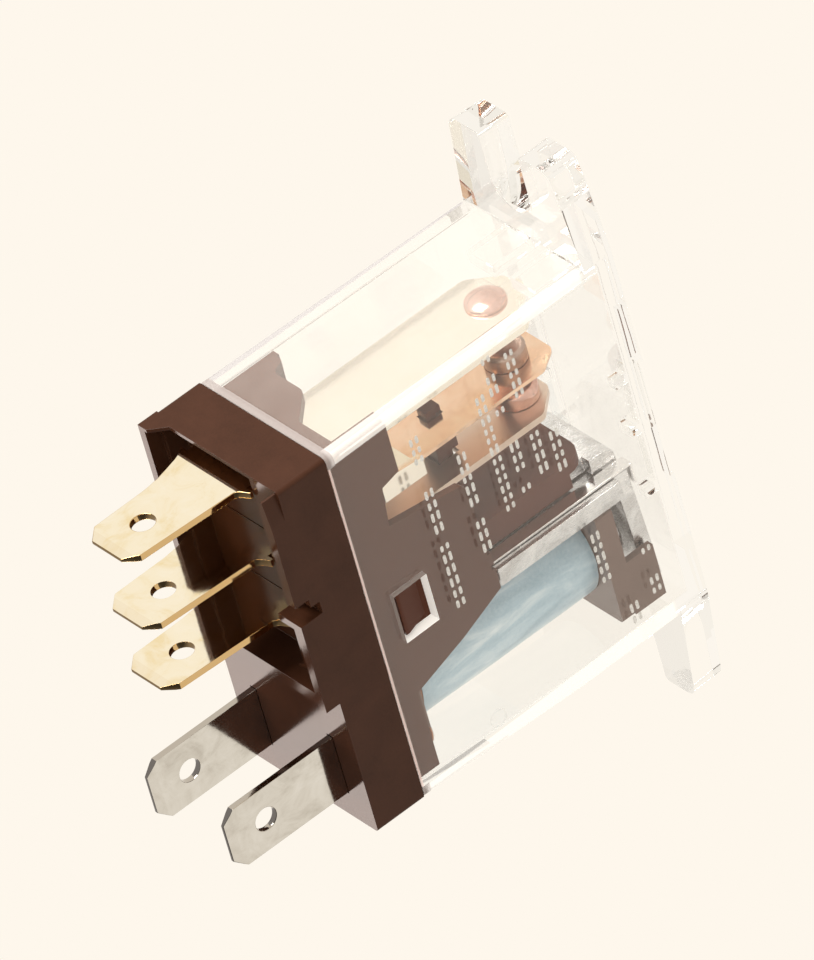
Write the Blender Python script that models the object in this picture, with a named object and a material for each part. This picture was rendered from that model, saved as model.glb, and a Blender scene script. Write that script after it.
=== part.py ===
"""Plug-in power relay with a clear cover, quick-connect tabs and a flange with two slotted ears.

The relay stands on the outer face of its flange (Z = 0) with the tabs pointing up (+Z).
+X is the end with the three contact tabs, -X the end with the coil. Y runs across, and
-Y is the front. Dimensions are in millimetres; meshes are made in metres.
"""

import math

import bmesh
import bpy
from mathutils import Matrix, Vector

MM = 0.001

# ---------------------------------------------------------------- shared dimensions (mm)
BODY_X = 14.5                   # half length of the body at the base
BODY_Y = 6.5                    # half width of the body at the base
BASE_Z0, BASE_Z1 = 24.70, 28.68     # visible band of the base
WIN_X0, WIN_X1 = -2.6, 1.3      # snap windows of the cover
FLOOR_Z = 24.3                  # inside floor of the base

TAB_T = 0.5                     # terminal sheet
TAB_W = 4.75                    # tab width
TAB_ROOT_W = 6.2                # root width of the contact tabs
TAB_NO_X = 13.28                # +X faces of the contact tabs: normally open,
TAB_COM_X = 7.55                # common,
TAB_NC_X = 2.38                 # normally closed
COIL_TAB_X = -9.9               # centre of the two coil tabs
COIL_TAB_Y = 3.95               # their mid planes, either side of Y = 0
STUB_X0 = COIL_TAB_X - TAB_W / 2    # -X edge of the stub that takes the coil lead
STUB_W = 0.8

LEAF_NO_X = 11.05               # +X face of the normally open leaf
LEAF_NC_X = 3.70                # +X face of the normally closed leaf
CONTACT_Z = 6.5                 # axis of the contacts
CONTACT_HOLE_R = 0.85
SHANK_R = 0.8                   # contact shank
SPRING_X0, SPRING_X1 = 6.57, 6.87
SPRING_ROOT_Z = 19.3            # line about which the moving spring bends
RIVET_Y = 1.6                   # spring rivets, either side of Y = 0

COIL_X = -8.6                   # coil axis
CORE_R = 1.9
WIND_R = 3.85
WIND_Z0, WIND_Z1 = 6.45, 21.95

YOKE_X0, YOKE_X1 = -4.3, -2.9   # upright leg of the yoke
YOKE_TOP = 3.8
YOKE_FOOT_Z1 = 24.2
YOKE_FOOT_Y = 3.2               # half width of the yoke foot
HINGE_RIVET_Z = 16.8
HINGE_HOLE_R = 0.46
PIVOT = (-2.85, 0.0, 3.75)      # knife edge of the armature
NOSE_Z = 13.2                   # arm of the pusher card


# ---------------------------------------------------------------- mesh helpers
def place(first, second, along, axis):
    """Point with (first, second) in the section plane, in XYZ order, and along on the axis."""
    return {
        "x": (along, first, second),
        "y": (first, along, second),
        "z": (first, second, along),
    }[axis]


def loft(sections, closed=False):
    """Solid through sections of equal point count; closed joins the last to the first."""
    bm = bmesh.new()
    rings = [[bm.verts.new(Vector(point) * MM) for point in section] for section in sections]
    count = len(rings[0])
    pairs = list(zip(rings[:-1], rings[1:]))
    if closed:
        pairs.append((rings[-1], rings[0]))
    for lower, upper in pairs:
        for i in range(count):
            j = (i + 1) % count
            bm.faces.new((lower[i], lower[j], upper[j], upper[i]))
    if not closed:
        bm.faces.new(rings[0][::-1])
        bm.faces.new(rings[-1])
    bmesh.ops.recalc_face_normals(bm, faces=bm.faces[:])
    mesh = bpy.data.meshes.new("loft")
    bm.to_mesh(mesh)
    bm.free()
    return mesh


def prism(outline, axis, start, end):
    return loft([[place(*point, along, axis) for point in outline] for along in (start, end)])


def box(x0, x1, y0, y1, z0, z1):
    return prism([(x0, y0), (x1, y0), (x1, y1), (x0, y1)], "z", z0, z1)


def box_pair(x0, x1, y_inner, y_outer, z0, z1):
    """Box on the +Y side and its mirror image on the -Y side."""
    return [box(x0, x1, side * y_inner, side * y_outer, z0, z1) for side in (1, -1)]


def turned(profile, centre, axis, segments):
    """Body of revolution with flat ends; profile is (along the axis, radius) pairs."""
    angles = [2 * math.pi * i / segments for i in range(segments)]
    return loft([
        [
            place(centre[0] + radius * math.cos(angle), centre[1] + radius * math.sin(angle),
                  along, axis)
            for angle in angles
        ]
        for along, radius in profile
    ])


def cylinder(centre, radius, axis, start, end, segments):
    return turned([(start, radius), (end, radius)], centre, axis, segments)


def coil_tube(inner, outer, z0, z1, segments):
    """Tube about the coil axis."""
    sections = []
    for i in range(segments):
        angle = 2 * math.pi * i / segments
        sections.append([
            (COIL_X + radius * math.cos(angle), radius * math.sin(angle), z)
            for radius, z in ((inner, z0), (outer, z0), (outer, z1), (inner, z1))
        ])
    return loft(sections, closed=True)


def rounded(points, radii, steps=4):
    """Polygon with its corners rounded by one radius, or by one radius per corner."""
    if not isinstance(radii, list):
        radii = [radii] * len(points)
    outline = []
    for i, (point, radius) in enumerate(zip(points, radii)):
        corner = Vector(point)
        if radius <= 0:
            outline.append(tuple(corner))
            continue
        back = Vector(points[i - 1]) - corner
        ahead = Vector(points[(i + 1) % len(points)]) - corner
        back.normalize()
        ahead.normalize()
        half_angle = math.acos(max(-1, min(1, back.dot(ahead)))) / 2
        setback = radius / math.tan(half_angle)
        centre = corner + (back + ahead).normalized() * (radius / math.sin(half_angle))
        start = corner + back * setback - centre
        end = corner + ahead * setback - centre
        turn = math.atan2(start.x * end.y - start.y * end.x, start.dot(end))
        for k in range(steps + 1):
            cos, sin = math.cos(turn * k / steps), math.sin(turn * k / steps)
            outline.append((centre.x + start.x * cos - start.y * sin,
                            centre.y + start.x * sin + start.y * cos))
    return outline


def wire(path, radius, sides):
    """Round wire along a path of points."""
    points = [Vector(point) for point in path]
    sections = []
    across = None
    for i, point in enumerate(points):
        ahead = points[min(i + 1, len(points) - 1)]
        tangent = (ahead - points[max(i - 1, 0)]).normalized()
        if across is None:
            across = tangent.orthogonal().normalized()
        # carry the section forward so that it does not twist
        across = (across - tangent * across.dot(tangent)).normalized()
        up = tangent.cross(across)
        angles = [2 * math.pi * k / sides for k in range(sides)]
        sections.append([
            tuple(point + (across * math.cos(angle) + up * math.sin(angle)) * radius)
            for angle in angles
        ])
    return loft(sections)


def helper_object(mesh):
    helper = bpy.data.objects.new("cutter", mesh)
    bpy.context.scene.collection.objects.link(helper)
    helper.hide_render = True
    return helper


def combine(base, adds=(), cuts=()):
    """Union of base and adds, less the cuts, as one mesh."""
    target = helper_object(base)
    helpers = [target]
    for operation, meshes in (("UNION", adds), ("DIFFERENCE", cuts)):
        for mesh in meshes:
            tool = helper_object(mesh)
            helpers.append(tool)
            boolean = target.modifiers.new("boolean", "BOOLEAN")
            boolean.operation = operation
            boolean.solver = "EXACT"
            boolean.object = tool
    depsgraph = bpy.context.evaluated_depsgraph_get()
    depsgraph.update()
    result = bpy.data.meshes.new_from_object(target.evaluated_get(depsgraph))
    for helper in helpers:
        bpy.data.objects.remove(helper, do_unlink=True)
    # clear the slivers that the booleans leave
    bm = bmesh.new()
    bm.from_mesh(result)
    bmesh.ops.remove_doubles(bm, verts=bm.verts[:], dist=2e-7)
    bmesh.ops.dissolve_degenerate(bm, dist=1e-7, edges=bm.edges[:])
    bm.to_mesh(result)
    bm.free()
    return result


# ---------------------------------------------------------------- object helpers
def make_material(name, color, roughness, metallic=0.0, alpha=1.0, transmission=0.0):
    mat = bpy.data.materials.new(name)
    mat.use_nodes = True
    inputs = mat.node_tree.nodes["Principled BSDF"].inputs
    inputs["Base Color"].default_value = (*color, 1)
    inputs["Metallic"].default_value = metallic
    inputs["Roughness"].default_value = roughness
    inputs["Alpha"].default_value = alpha
    inputs["Transmission Weight"].default_value = transmission
    mat.diffuse_color = (*color, alpha)
    return mat


def make_metal(name, color, roughness):
    return make_material(name, color, roughness, metallic=1)


def axis_empty(name, location):
    """Empty on a joint's axis, to which the pieces that turn about it are parented."""
    empty = bpy.data.objects.new(name, None)
    empty.empty_display_size = 3 * MM
    empty.location = Vector(location) * MM
    bpy.context.scene.collection.objects.link(empty)
    return empty


def add_piece(name, mesh, mat, smooth=None, parent=None):
    """Named object; smooth is the angle in degrees above which an edge stays sharp."""
    mesh.name = name
    mesh.materials.clear()
    mesh.materials.append(mat)
    piece = bpy.data.objects.new(name, mesh)
    bpy.context.scene.collection.objects.link(piece)
    if parent is not None:
        mesh.transform(Matrix.Translation(-parent.location))
        piece.parent = parent
    if smooth:
        mesh.shade_smooth()
        mesh.set_sharp_from_angle(angle=math.radians(smooth))


# ---------------------------------------------------------------- cover
COIL_END_X = 15.2               # reach of the coil end of the cover at the flange
FLANGE_Y = 6.15                 # half width of the cover at the flange
FLANGE_TOP_Y = 5.95             # half width at the mounting face, after the draft
FLANGE_T = 2.47
COVER_MID_Z = 11.0              # where the cover begins to widen to the base
COVER_MID_Y = FLANGE_Y + 0.1
COVER_Z = 24.66                 # open edge
WALL = 0.9
CEILING = 1.3                   # wall at the flange end
EAR_A, EAR_B = 21.9, -22.8      # ear tips, contact end and coil end
EAR_Y = 5.1                     # half width of the ear tip at the contact end
EAR_CORNER_R = 0.9
FLANGE_INSET = 0.2              # ears start this far inside the ends of the body
SLOT_R = 2.0                    # half width of the open slot
SLOT_DEPTH = 5.5                # from the ear tip
SLOT_MOUTH_R = 0.35
SLOT_STEPS = 12
WIN_Z0, WIN_Z1 = 19.9, 22.7
PAST_COVER_Y = 8                # reach of the cutters beyond the cover


def ear_corners(tip, sign, half_y):
    """(x, y, corner radius) round one slotted ear; sign is the X direction it points."""
    centre = tip - sign * (SLOT_DEPTH - SLOT_R)
    angles = [-sign * math.pi / 2 - math.pi * i / SLOT_STEPS for i in range(SLOT_STEPS + 1)]
    return [
        (tip, -sign * half_y, EAR_CORNER_R),
        (tip, -sign * SLOT_R, SLOT_MOUTH_R),
        *[(centre + SLOT_R * math.cos(t), SLOT_R * math.sin(t), 0) for t in angles],
        (tip, sign * SLOT_R, SLOT_MOUTH_R),
        (tip, sign * half_y, EAR_CORNER_R),
    ]


def flange_section(z, y_scale):
    """Flange outline at height z; y_scale gives the draft."""
    contact_x, coil_x = BODY_X - FLANGE_INSET, -COIL_END_X + FLANGE_INSET
    corners = [
        (contact_x, -FLANGE_Y, 0), *ear_corners(EAR_A, 1, EAR_Y), (contact_x, FLANGE_Y, 0),
        (coil_x, FLANGE_Y, 0), *ear_corners(EAR_B, -1, EAR_Y - 0.1), (coil_x, -FLANGE_Y, 0),
    ]
    outline = rounded([(x, y) for x, y, _ in corners], [radius for _, _, radius in corners])
    return [(x, y * y_scale, z) for x, y in outline]


def cover_loft(stations, radius):
    """Body through (z, low x, high x, half width) stations."""
    return loft([
        [(x, y, z) for x, y in rounded([(x1, -half), (x0, -half), (x0, half), (x1, half)], radius)]
        for z, x0, x1, half in stations
    ])


def cover():
    body = cover_loft([
        (0.6, -COIL_END_X, BODY_X, FLANGE_Y - 0.02),
        (COVER_MID_Z, -COIL_END_X, BODY_X, COVER_MID_Y),
        (COVER_Z, -BODY_X, BODY_X, BODY_Y),
    ], radius=0.5)
    flange = loft([flange_section(0.0, FLANGE_TOP_Y / FLANGE_Y), flange_section(FLANGE_T, 1.0)])
    cavity = cover_loft([
        (CEILING, -COIL_END_X + 1.0, BODY_X - WALL, FLANGE_Y - WALL),
        (COVER_MID_Z, -COIL_END_X + WALL, BODY_X - WALL, COVER_MID_Y - WALL),
        (COVER_Z + 1.0, -BODY_X + WALL, BODY_X - WALL, BODY_Y - WALL),
    ], radius=0.35)
    edge_recesses = box_pair(-4.7, 4.9, 3.95, PAST_COVER_Y, -1.0, 0.3)
    windows = box(WIN_X0, WIN_X1, -PAST_COVER_Y, PAST_COVER_Y, WIN_Z0, WIN_Z1)
    shell = combine(body, [flange], [cavity, *edge_recesses, windows])
    rib_root = CEILING - 0.4
    ribs = []
    # x0, x1, inner y, outer y, free end z
    for x0, x1, y_inner, y_outer, end_z in (
        (11.45, 12.45, 0.9, 3.5, 4.8),
        (3.9, 4.7, 4.5, 5.6, 2.3),
        (-5.3, -4.5, 4.5, 5.6, 2.3),
        (-0.4, 0.4, 3.9, 5.6, 2.0),
    ):
        ribs += box_pair(x0, x1, y_inner, y_outer, rib_root, end_z)
    return combine(shell, ribs)


# ---------------------------------------------------------------- base
PLUG_X, PLUG_Y = 13.4, 5.4      # half size of the part inside the cover
SIDE_WALL, END_WALL = 0.6, 0.8
WALL_ROOT_Z = 25.0              # inner walls run this far into the band
BAR_Y = 5.2                     # half length of the cross bars
FOOT_Z = 29.8                   # tops of the low walls round the contact tabs
FOOT_ROOT_Z = BASE_Z1 - 0.5
POCKET_Z = 27.2                 # roof of the recess on the underside
POCKET_X0, POCKET_X1, POCKET_Y0, POCKET_Y1 = -2.05, 14.2, -3.5, 5.5
TAB_GAP = 0.06                  # clearance round a terminal

# (x, z) of the two side walls
SIDE_WALL_OUTLINE = [
    (PLUG_X, WALL_ROOT_Z), (PLUG_X, 19.4), (9.4, 19.4), (9.0, 20.9), (6.0, 21.2),
    (5.2, 15.4), (4.6, 14.9), (-2.35, 14.9), (-2.35, 14.6), (-4.0, 14.6),
    (-5.66, 18.3), (-7.2, 22.6), (-PLUG_X, 22.6), (-PLUG_X, WALL_ROOT_Z),
]
# (y, z) and corner radii of the end wall at +X
END_WALL_OUTLINE = [
    (PLUG_Y, WALL_ROOT_Z), (PLUG_Y, 19.6), (4.2, 19.6), (3.7, 20.75),
    (0.7, 20.75), (-1.5, 22.9), (-PLUG_Y, 22.9), (-PLUG_Y, WALL_ROOT_Z),
]
END_WALL_RADII = [0, 0.5, 0.5, 0.4, 0.9, 0.4, 0, 0]
# (y, z) of a snap catch on the +Y side
CATCH_OUTLINE = [(BAR_Y, 20.3), (5.45, 20.3), (6.15, 22.1), (6.15, 22.4), (BAR_Y, 22.4)]


def base_body():
    """Visible band with the floor, walls, cross bars and catches that go inside the cover."""
    corners = [(BODY_X, -BODY_Y), (BODY_X, BODY_Y), (-BODY_X, BODY_Y), (-BODY_X, -BODY_Y)]
    band = prism(rounded(corners, 0.3, 3), "z", BASE_Z0, BASE_Z1)
    return combine(band, [
        box(-PLUG_X, PLUG_X, -PLUG_Y, PLUG_Y, FLOOR_Z, BASE_Z0 + 0.5),
        prism(SIDE_WALL_OUTLINE, "y", -PLUG_Y, -PLUG_Y + SIDE_WALL),
        prism(SIDE_WALL_OUTLINE, "y", PLUG_Y - SIDE_WALL, PLUG_Y),
        prism(rounded(END_WALL_OUTLINE, END_WALL_RADII), "x", PLUG_X - END_WALL, PLUG_X),
        box(-PLUG_X, -PLUG_X + SIDE_WALL, -PLUG_Y, PLUG_Y, 22.6, WALL_ROOT_Z),
        # separator between coil and contacts, then a bar either side of the common terminal
        box(-2.2, -1.2, -BAR_Y, BAR_Y, 14.5, WALL_ROOT_Z),
        box(4.2, 5.0, -BAR_Y, BAR_Y, 21.0, WALL_ROOT_Z),
        box(9.0, 9.8, -BAR_Y, BAR_Y, 20.9, WALL_ROOT_Z),
        *[prism([(side * y, z) for y, z in CATCH_OUTLINE], "x", WIN_X0 + 0.3, WIN_X1 - 0.3)
          for side in (1, -1)],
    ])


def base_cuts():
    pocket = [
        (POCKET_X1, POCKET_Y0), (POCKET_X1, POCKET_Y1), (POCKET_X0, POCKET_Y1),
        (POCKET_X0, POCKET_Y0 + 0.9), (POCKET_X0 + 0.5, POCKET_Y0),
    ]
    cuts = [prism(pocket, "z", POCKET_Z, BASE_Z1 + 0.3)]
    slot_z = FLOOR_Z - 0.3, BASE_Z1 + 1
    slot_half = TAB_ROOT_W / 2 + TAB_GAP
    for face in (TAB_NO_X, TAB_COM_X, TAB_NC_X):
        cuts.append(box(face - TAB_T - TAB_GAP, face + TAB_GAP, -slot_half, slot_half, *slot_z))
    # room for the step of the normally open terminal
    cuts.append(box(LEAF_NO_X - 0.9, TAB_NO_X + TAB_GAP, -slot_half, slot_half, 23.55, FLOOR_Z))
    coil_half, sheet_half = TAB_W / 2 + TAB_GAP, TAB_T / 2 + TAB_GAP
    cuts += box_pair(COIL_TAB_X - coil_half, COIL_TAB_X + coil_half,
                     COIL_TAB_Y - sheet_half, COIL_TAB_Y + sheet_half, *slot_z)
    # slot in the gap of the front low wall
    cuts.append(box(3.9, 4.84, -7.0, -4.9, BASE_Z1 - 0.7, BASE_Z1 + 0.3))
    return cuts


def low_walls():
    """Walls that stand round the contact tabs."""
    front_end = [
        (5.5, -BODY_Y), (12.2, -BODY_Y), (14.3, -6.2), (14.3, -6.05), (13.6, -5.75), (5.5, -5.75),
    ]
    toe_root, toe_y = BASE_Z1 - 0.4, BODY_Y - 0.3
    toe = [(4.4, toe_root), (4.55, BASE_Z1), (5.6, FOOT_Z), (toe_y, FOOT_Z), (toe_y, toe_root)]
    return [
        box(-3.05, BODY_X, 5.85, BODY_Y, FOOT_ROOT_Z, FOOT_Z),          # rear wall
        box(-3.05, POCKET_X0, -6.1, 6.1, BASE_Z1 - 1.9, FOOT_Z),        # partition
        box(-3.4, 3.9, -BODY_Y, -5.75, FOOT_ROOT_Z, FOOT_Z),            # front wall
        box(3.3, 3.9, -6.0, -4.1, toe_root, FOOT_Z),                    # its return
        prism(front_end, "z", FOOT_ROOT_Z, FOOT_Z),
        prism(toe, "x", POCKET_X1 + 0.02, BODY_X),
    ]


def base():
    return combine(combine(base_body(), [], base_cuts()), low_walls())


# ---------------------------------------------------------------- terminals
TAB_END = 38.1                  # tab tips
TAB_HOLE_Z, TAB_HOLE_R = 35.0, 0.85
SHOULDER_Z = 28.75              # shoulders of the contact tabs, just above the base
STEP_Z0, STEP_Z1 = 23.7, 24.2   # cross step between tab and leaf
LEAF_CHAMFER_X, LEAF_CHAMFER_Z = 1.9, 2.0   # across and up the leaf
BEVEL_DEPTH, BEVEL_LENGTH = 0.13, 0.7   # thinning of the tab end on each face
COM_PLATE_Z = 17.0              # free end of the common terminal inside the relay
LUG_Z1 = 20.5

# (across, z) of the chamfered tab end, then of both edges of a contact tab
TAB_TIP = [
    (-TAB_W / 2, TAB_END - 0.95), (-1.5, TAB_END), (1.5, TAB_END), (TAB_W / 2, TAB_END - 0.95),
]
FRONT_EDGE = [
    (-TAB_ROOT_W / 2, SHOULDER_Z), (-3.65, SHOULDER_Z), (-3.65, 28.98),
    (-2.95, 29.3), (-2.72, 29.6), (-2.52, 33.8),
]
REAR_EDGE = [
    (2.44, 32.9), (2.60, 31.65), (3.14, 29.8), (3.35, 29.3),
    (3.6, 29.0), (3.6, SHOULDER_Z), (TAB_ROOT_W / 2, SHOULDER_Z),
]


def contact_tab(root_z, face):
    """Flat tab from root_z to the tip; face is its +X face."""
    half = TAB_ROOT_W / 2
    outline = [(-half, root_z), *FRONT_EDGE, *TAB_TIP, *REAR_EDGE, (half, root_z)]
    return prism(outline, "x", face - TAB_T, face)


def tab_cuts(centre, low, high, axis):
    """Hole and end bevels of a tab between low and high on the axis of its thickness."""
    cuts = [cylinder((centre, TAB_HOLE_Z), TAB_HOLE_R, axis, low - 1, high + 1, 28)]
    start_z, past_z = TAB_END - BEVEL_LENGTH, TAB_END + 0.3
    for face, outward in ((low, -1), (high, 1)):
        outside, inside = face + outward * 0.3, face - outward * BEVEL_DEPTH
        wedge = [(outside, past_z), (outside, start_z), (face, start_z),
                 (inside, TAB_END + 0.01), (inside, past_z)]
        cuts.append(prism(wedge, "y" if axis == "x" else "x", centre - 4, centre + 4))
    return cuts


def leaf_terminal(tab_face, leaf_face, leaf_top, half, window=None):
    """Tab, step and leaf from one sheet, given by their +X faces; window is (y0, y1, z0, z1)."""
    tab_back, leaf_back = tab_face - TAB_T, leaf_face - TAB_T
    step = box(min(tab_back, leaf_back), max(tab_face, leaf_face),
               -TAB_ROOT_W / 2, TAB_ROOT_W / 2, STEP_Z0, STEP_Z1)
    side_z, top_half = leaf_top + LEAF_CHAMFER_Z, half - LEAF_CHAMFER_X
    leaf = rounded([
        (-half, STEP_Z1), (-half, side_z), (-top_half, leaf_top),
        (top_half, leaf_top), (half, side_z), (half, STEP_Z1),
    ], [0, 0.8, 0.8, 0.8, 0.8, 0])
    cuts = tab_cuts(0, tab_back, tab_face, "x")
    through = leaf_face - 1, leaf_face + 1
    cuts.append(cylinder((0, CONTACT_Z), CONTACT_HOLE_R, "x", *through, 24))
    if window:
        cuts.append(box(*through, *window))
    body = combine(contact_tab(STEP_Z0, tab_face), [step, prism(leaf, "x", leaf_back, leaf_face)])
    return combine(body, [], cuts)


def common_terminal():
    """Flat plate with two holes for the spring rivets and a bent lug at the front."""
    back = TAB_COM_X - TAB_T
    lug = [(back, COM_PLATE_Z), (TAB_COM_X + 0.9, COM_PLATE_Z),
           (TAB_COM_X + 1.2, LUG_Z1), (back, LUG_Z1)]
    body = combine(contact_tab(COM_PLATE_Z, TAB_COM_X), [
        prism(lug, "y", -4.6, -4.1),
        box(back, TAB_COM_X, -4.3, -2.9, COM_PLATE_Z, LUG_Z1),
    ])
    cuts = tab_cuts(0, back, TAB_COM_X, "x")
    for y in (-RIVET_Y, RIVET_Y):
        cuts.append(cylinder((y, SPRING_ROOT_Z), 0.56, "x", 6.5, 8.5, 20))
    return combine(body, [], cuts)


def coil_terminal(side):
    y0, y1 = side * COIL_TAB_Y - TAB_T / 2, side * COIL_TAB_Y + TAB_T / 2
    root_z = 23.0
    outline = [(-TAB_W / 2, root_z), *TAB_TIP, (TAB_W / 2, root_z)]
    tab = prism([(COIL_TAB_X + across, z) for across, z in outline], "y", y0, y1)
    stub = box(STUB_X0, STUB_X0 + STUB_W, y0, y1, 21.7, 23.3)
    return combine(combine(tab, [stub]), [], tab_cuts(COIL_TAB_X, y0, y1, "y"))


# ---------------------------------------------------------------- coil
CORE_END_R = 1.45               # turned-down end of the core, in the yoke
POLE_R = 3.45
POLE_Z = 3.8                    # pole face
BORE_R = CORE_R + 0.06
BOBBIN_X1 = -4.45               # +X edge of both bobbin flanges
LEAD_R = 0.09
LEAD_TURNS, LEAD_STEPS = 3, 24  # turns round the stub, points per turn


def bobbin():
    tab_end_x, flange_y = -13.3, 5.0
    pole_flange = rounded([
        (tab_end_x, -flange_y), (tab_end_x, flange_y),
        (BOBBIN_X1, flange_y), (BOBBIN_X1, -flange_y),
    ], [0.3, 0.9, 0.9, 0.3])
    yoke_flange = [
        (BOBBIN_X1, -4.6), (BOBBIN_X1, 4.6), (-11.0, 4.6), (-11.0, 3.2),
        (-12.6, 3.2), (-12.6, -3.2), (-11.0, -3.2), (-11.0, -4.6),
    ]
    body = combine(prism(pole_flange, "z", 4.95, 6.40), [
        coil_tube(BORE_R, CORE_R + 0.45, 5.2, 22.6, 48),
        *box_pair(tab_end_x, -9.1, 4.45, flange_y, 2.7, 5.3),
    ])
    body = combine(body, [prism(yoke_flange, "z", 22.0, 22.88)])
    return combine(body, [], [cylinder((COIL_X, 0), BORE_R, "z", 2, 26, 48)])


def winding():
    return coil_tube(CORE_R + 0.5, WIND_R, WIND_Z0, WIND_Z1, 56)


def tape():
    return coil_tube(WIND_R + 0.04, 4.0, WIND_Z0 + 0.05, 21.3, 56)


def core():
    pole_back_z, shoulder_z = 4.88, 22.92
    return turned([
        (POLE_Z, POLE_R - 0.15), (POLE_Z + 0.15, POLE_R), (pole_back_z, POLE_R),
        (pole_back_z, CORE_R), (shoulder_z, CORE_R), (shoulder_z, CORE_END_R),
        (24.22, CORE_END_R),
    ], (COIL_X, 0), "z", 48)


def coil_lead(side):
    """Lead wound round the stub of the coil terminal and run to the winding."""
    stub_x, stub_y = STUB_X0 + STUB_W / 2, side * COIL_TAB_Y
    half_x, half_y = STUB_W / 2 + 0.13, TAB_T / 2 + 0.13
    first_z, pitch = 22.62, 0.24
    path = []
    for i in range(LEAD_TURNS * LEAD_STEPS + 1):
        angle = 2 * math.pi * i / LEAD_STEPS
        cos, sin = math.cos(angle), math.sin(angle)
        # swells the ellipse towards the corners of the stub
        swell = 1.0 / max(abs(cos), abs(sin)) ** 0.55
        path.append((stub_x + half_x * cos * swell * 1.02,
                     stub_y - side * half_y * sin * swell * 1.05,
                     first_z - pitch * i / LEAD_STEPS))
    angle = math.radians(38)
    reach = WIND_R + 0.16
    end = Vector((COIL_X - reach * math.cos(angle), side * reach * math.sin(angle), 21.66))
    bend = Vector(path[-1]) + Vector((0.12, -side * 0.22, -0.12))
    path.append(bend)
    path += [bend.lerp(end, fraction) for fraction in (0.35, 0.7, 1.0)]
    return wire(path, LEAD_R, 6)


# ---------------------------------------------------------------- yoke, armature and hinge
ARM_T = 1.2
ARM_TILT = math.radians(2.5)    # stroke of the armature
HINGE_X0, HINGE_X1 = -2.84, -2.66
HINGE_Y0, HINGE_Y1 = 3.45, 4.5  # legs of the hinge spring
CARD_Y = 3.25                   # half width of the card
CHEEK_Y = 2.55                  # inner faces of its cheeks
CARD_X0 = -2.62


def yoke():
    # (y, z) of the upright leg on the +Y side, from the top edge to the foot
    half_leg = [(5.1, YOKE_TOP), (5.1, 14.3), (4.7, 14.5), (4.7, 19.0),
                (YOKE_FOOT_Y, 19.6), (YOKE_FOOT_Y, YOKE_FOOT_Z1)]
    leg = half_leg + [(-y, z) for y, z in reversed(half_leg)]
    foot = box(-12.6, YOKE_X0 + 0.3, -YOKE_FOOT_Y, YOKE_FOOT_Y, 22.95, YOKE_FOOT_Z1)
    return combine(combine(prism(leg, "x", YOKE_X0, YOKE_X1), [foot]), [], [
        cylinder((COIL_X, 0), 1.5, "z", 22, 25, 32),
        cylinder((0, HINGE_RIVET_Z), HINGE_HOLE_R, "x", -5, -2, 20),
    ])


def tilted(x, z):
    """Turns a point of the closed armature plate to its open position about the knife edge."""
    pivot_x, _, pivot_z = PIVOT
    cos, sin = math.cos(ARM_TILT), math.sin(ARM_TILT)
    dx, dz = x - pivot_x, z - pivot_z
    return (pivot_x + dx * cos - dz * sin, pivot_z + dx * sin + dz * cos)


def armature():
    """Plate over the pole with an arm bent up along the yoke; both are narrowed at the bend."""
    pivot_x, _, face_z = PIVOT
    free_x, arm_x0, arm_x1, arm_end_z = -12.4, -2.75, -1.55, 11.8
    profile = [
        tilted(free_x, face_z), (pivot_x, face_z), (arm_x0, face_z + 0.1),
        (arm_x0, arm_end_z), (arm_x1, arm_end_z), (arm_x1, 3.2), (-2.0, 2.62),
        tilted(-3.0, face_z - ARM_T), tilted(free_x, face_z - ARM_T),
    ]
    cuts = []
    for side in (1, -1):
        cuts.append(box(-3.15, -1.0, side * 3.3, side * 6, 1.0, 5.0))
        cuts.append(box(-2.9, -1.0, side * 2.5, side * 6, 4.6, 13.0))
    return combine(prism(profile, "y", -4.2, 4.2), [], cuts)


def pusher_card():
    """Card on the armature arm, with a cross arm that reaches through the moving spring."""
    outline = [(-CARD_Y, 14.1), (-CARD_Y, 4.6), (CARD_Y, 4.6), (CARD_Y, 14.1)]
    return combine(prism(rounded(outline, [0.3, 1.5, 1.5, 0.3], 5), "x", -1.5, -0.6), [
        *box_pair(CARD_X0, -1.2, CHEEK_Y, CARD_Y, 6.2, 13.9),
        box(CARD_X0, -1.2, -3.0, 3.0, 11.9, 13.9),
        box(-0.9, 6.0, -0.8, 0.8, NOSE_Z - 0.6, NOSE_Z + 0.6),          # cross arm
        box(4.2, 6.5, -1.0, 1.0, NOSE_Z - 1.02, NOSE_Z + 0.7),          # bar
        box(6.3, 7.2, -0.42, 0.42, NOSE_Z - 0.33, NOSE_Z + 0.42),       # neck
        box(7.04, 7.5, -0.45, 0.45, NOSE_Z - 0.78, NOSE_Z + 0.42),      # hook
    ])


def hinge_spring():
    plate = box(HINGE_X0, HINGE_X1, -HINGE_Y1, HINGE_Y1, 15.2, 18.4)
    legs = box_pair(HINGE_X0, HINGE_X1, HINGE_Y0, HINGE_Y1, 2.27, 18.2)
    hooks = box_pair(-4.3, HINGE_X1, HINGE_Y0, HINGE_Y1, 2.25, 2.43)
    hole = cylinder((0, HINGE_RIVET_Z), HINGE_HOLE_R, "x", -4, -2, 20)
    return combine(plate, legs + hooks, [hole])


def hinge_rivet():
    # (x, radius)
    profile = [(-4.38, 0.3), (-4.34, 0.40), (-2.62, 0.40), (-2.62, 0.85), (-2.42, 0.85),
               (-2.32, 0.6)]
    return turned(profile, (0, HINGE_RIVET_Z), "x", 24)


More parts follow.
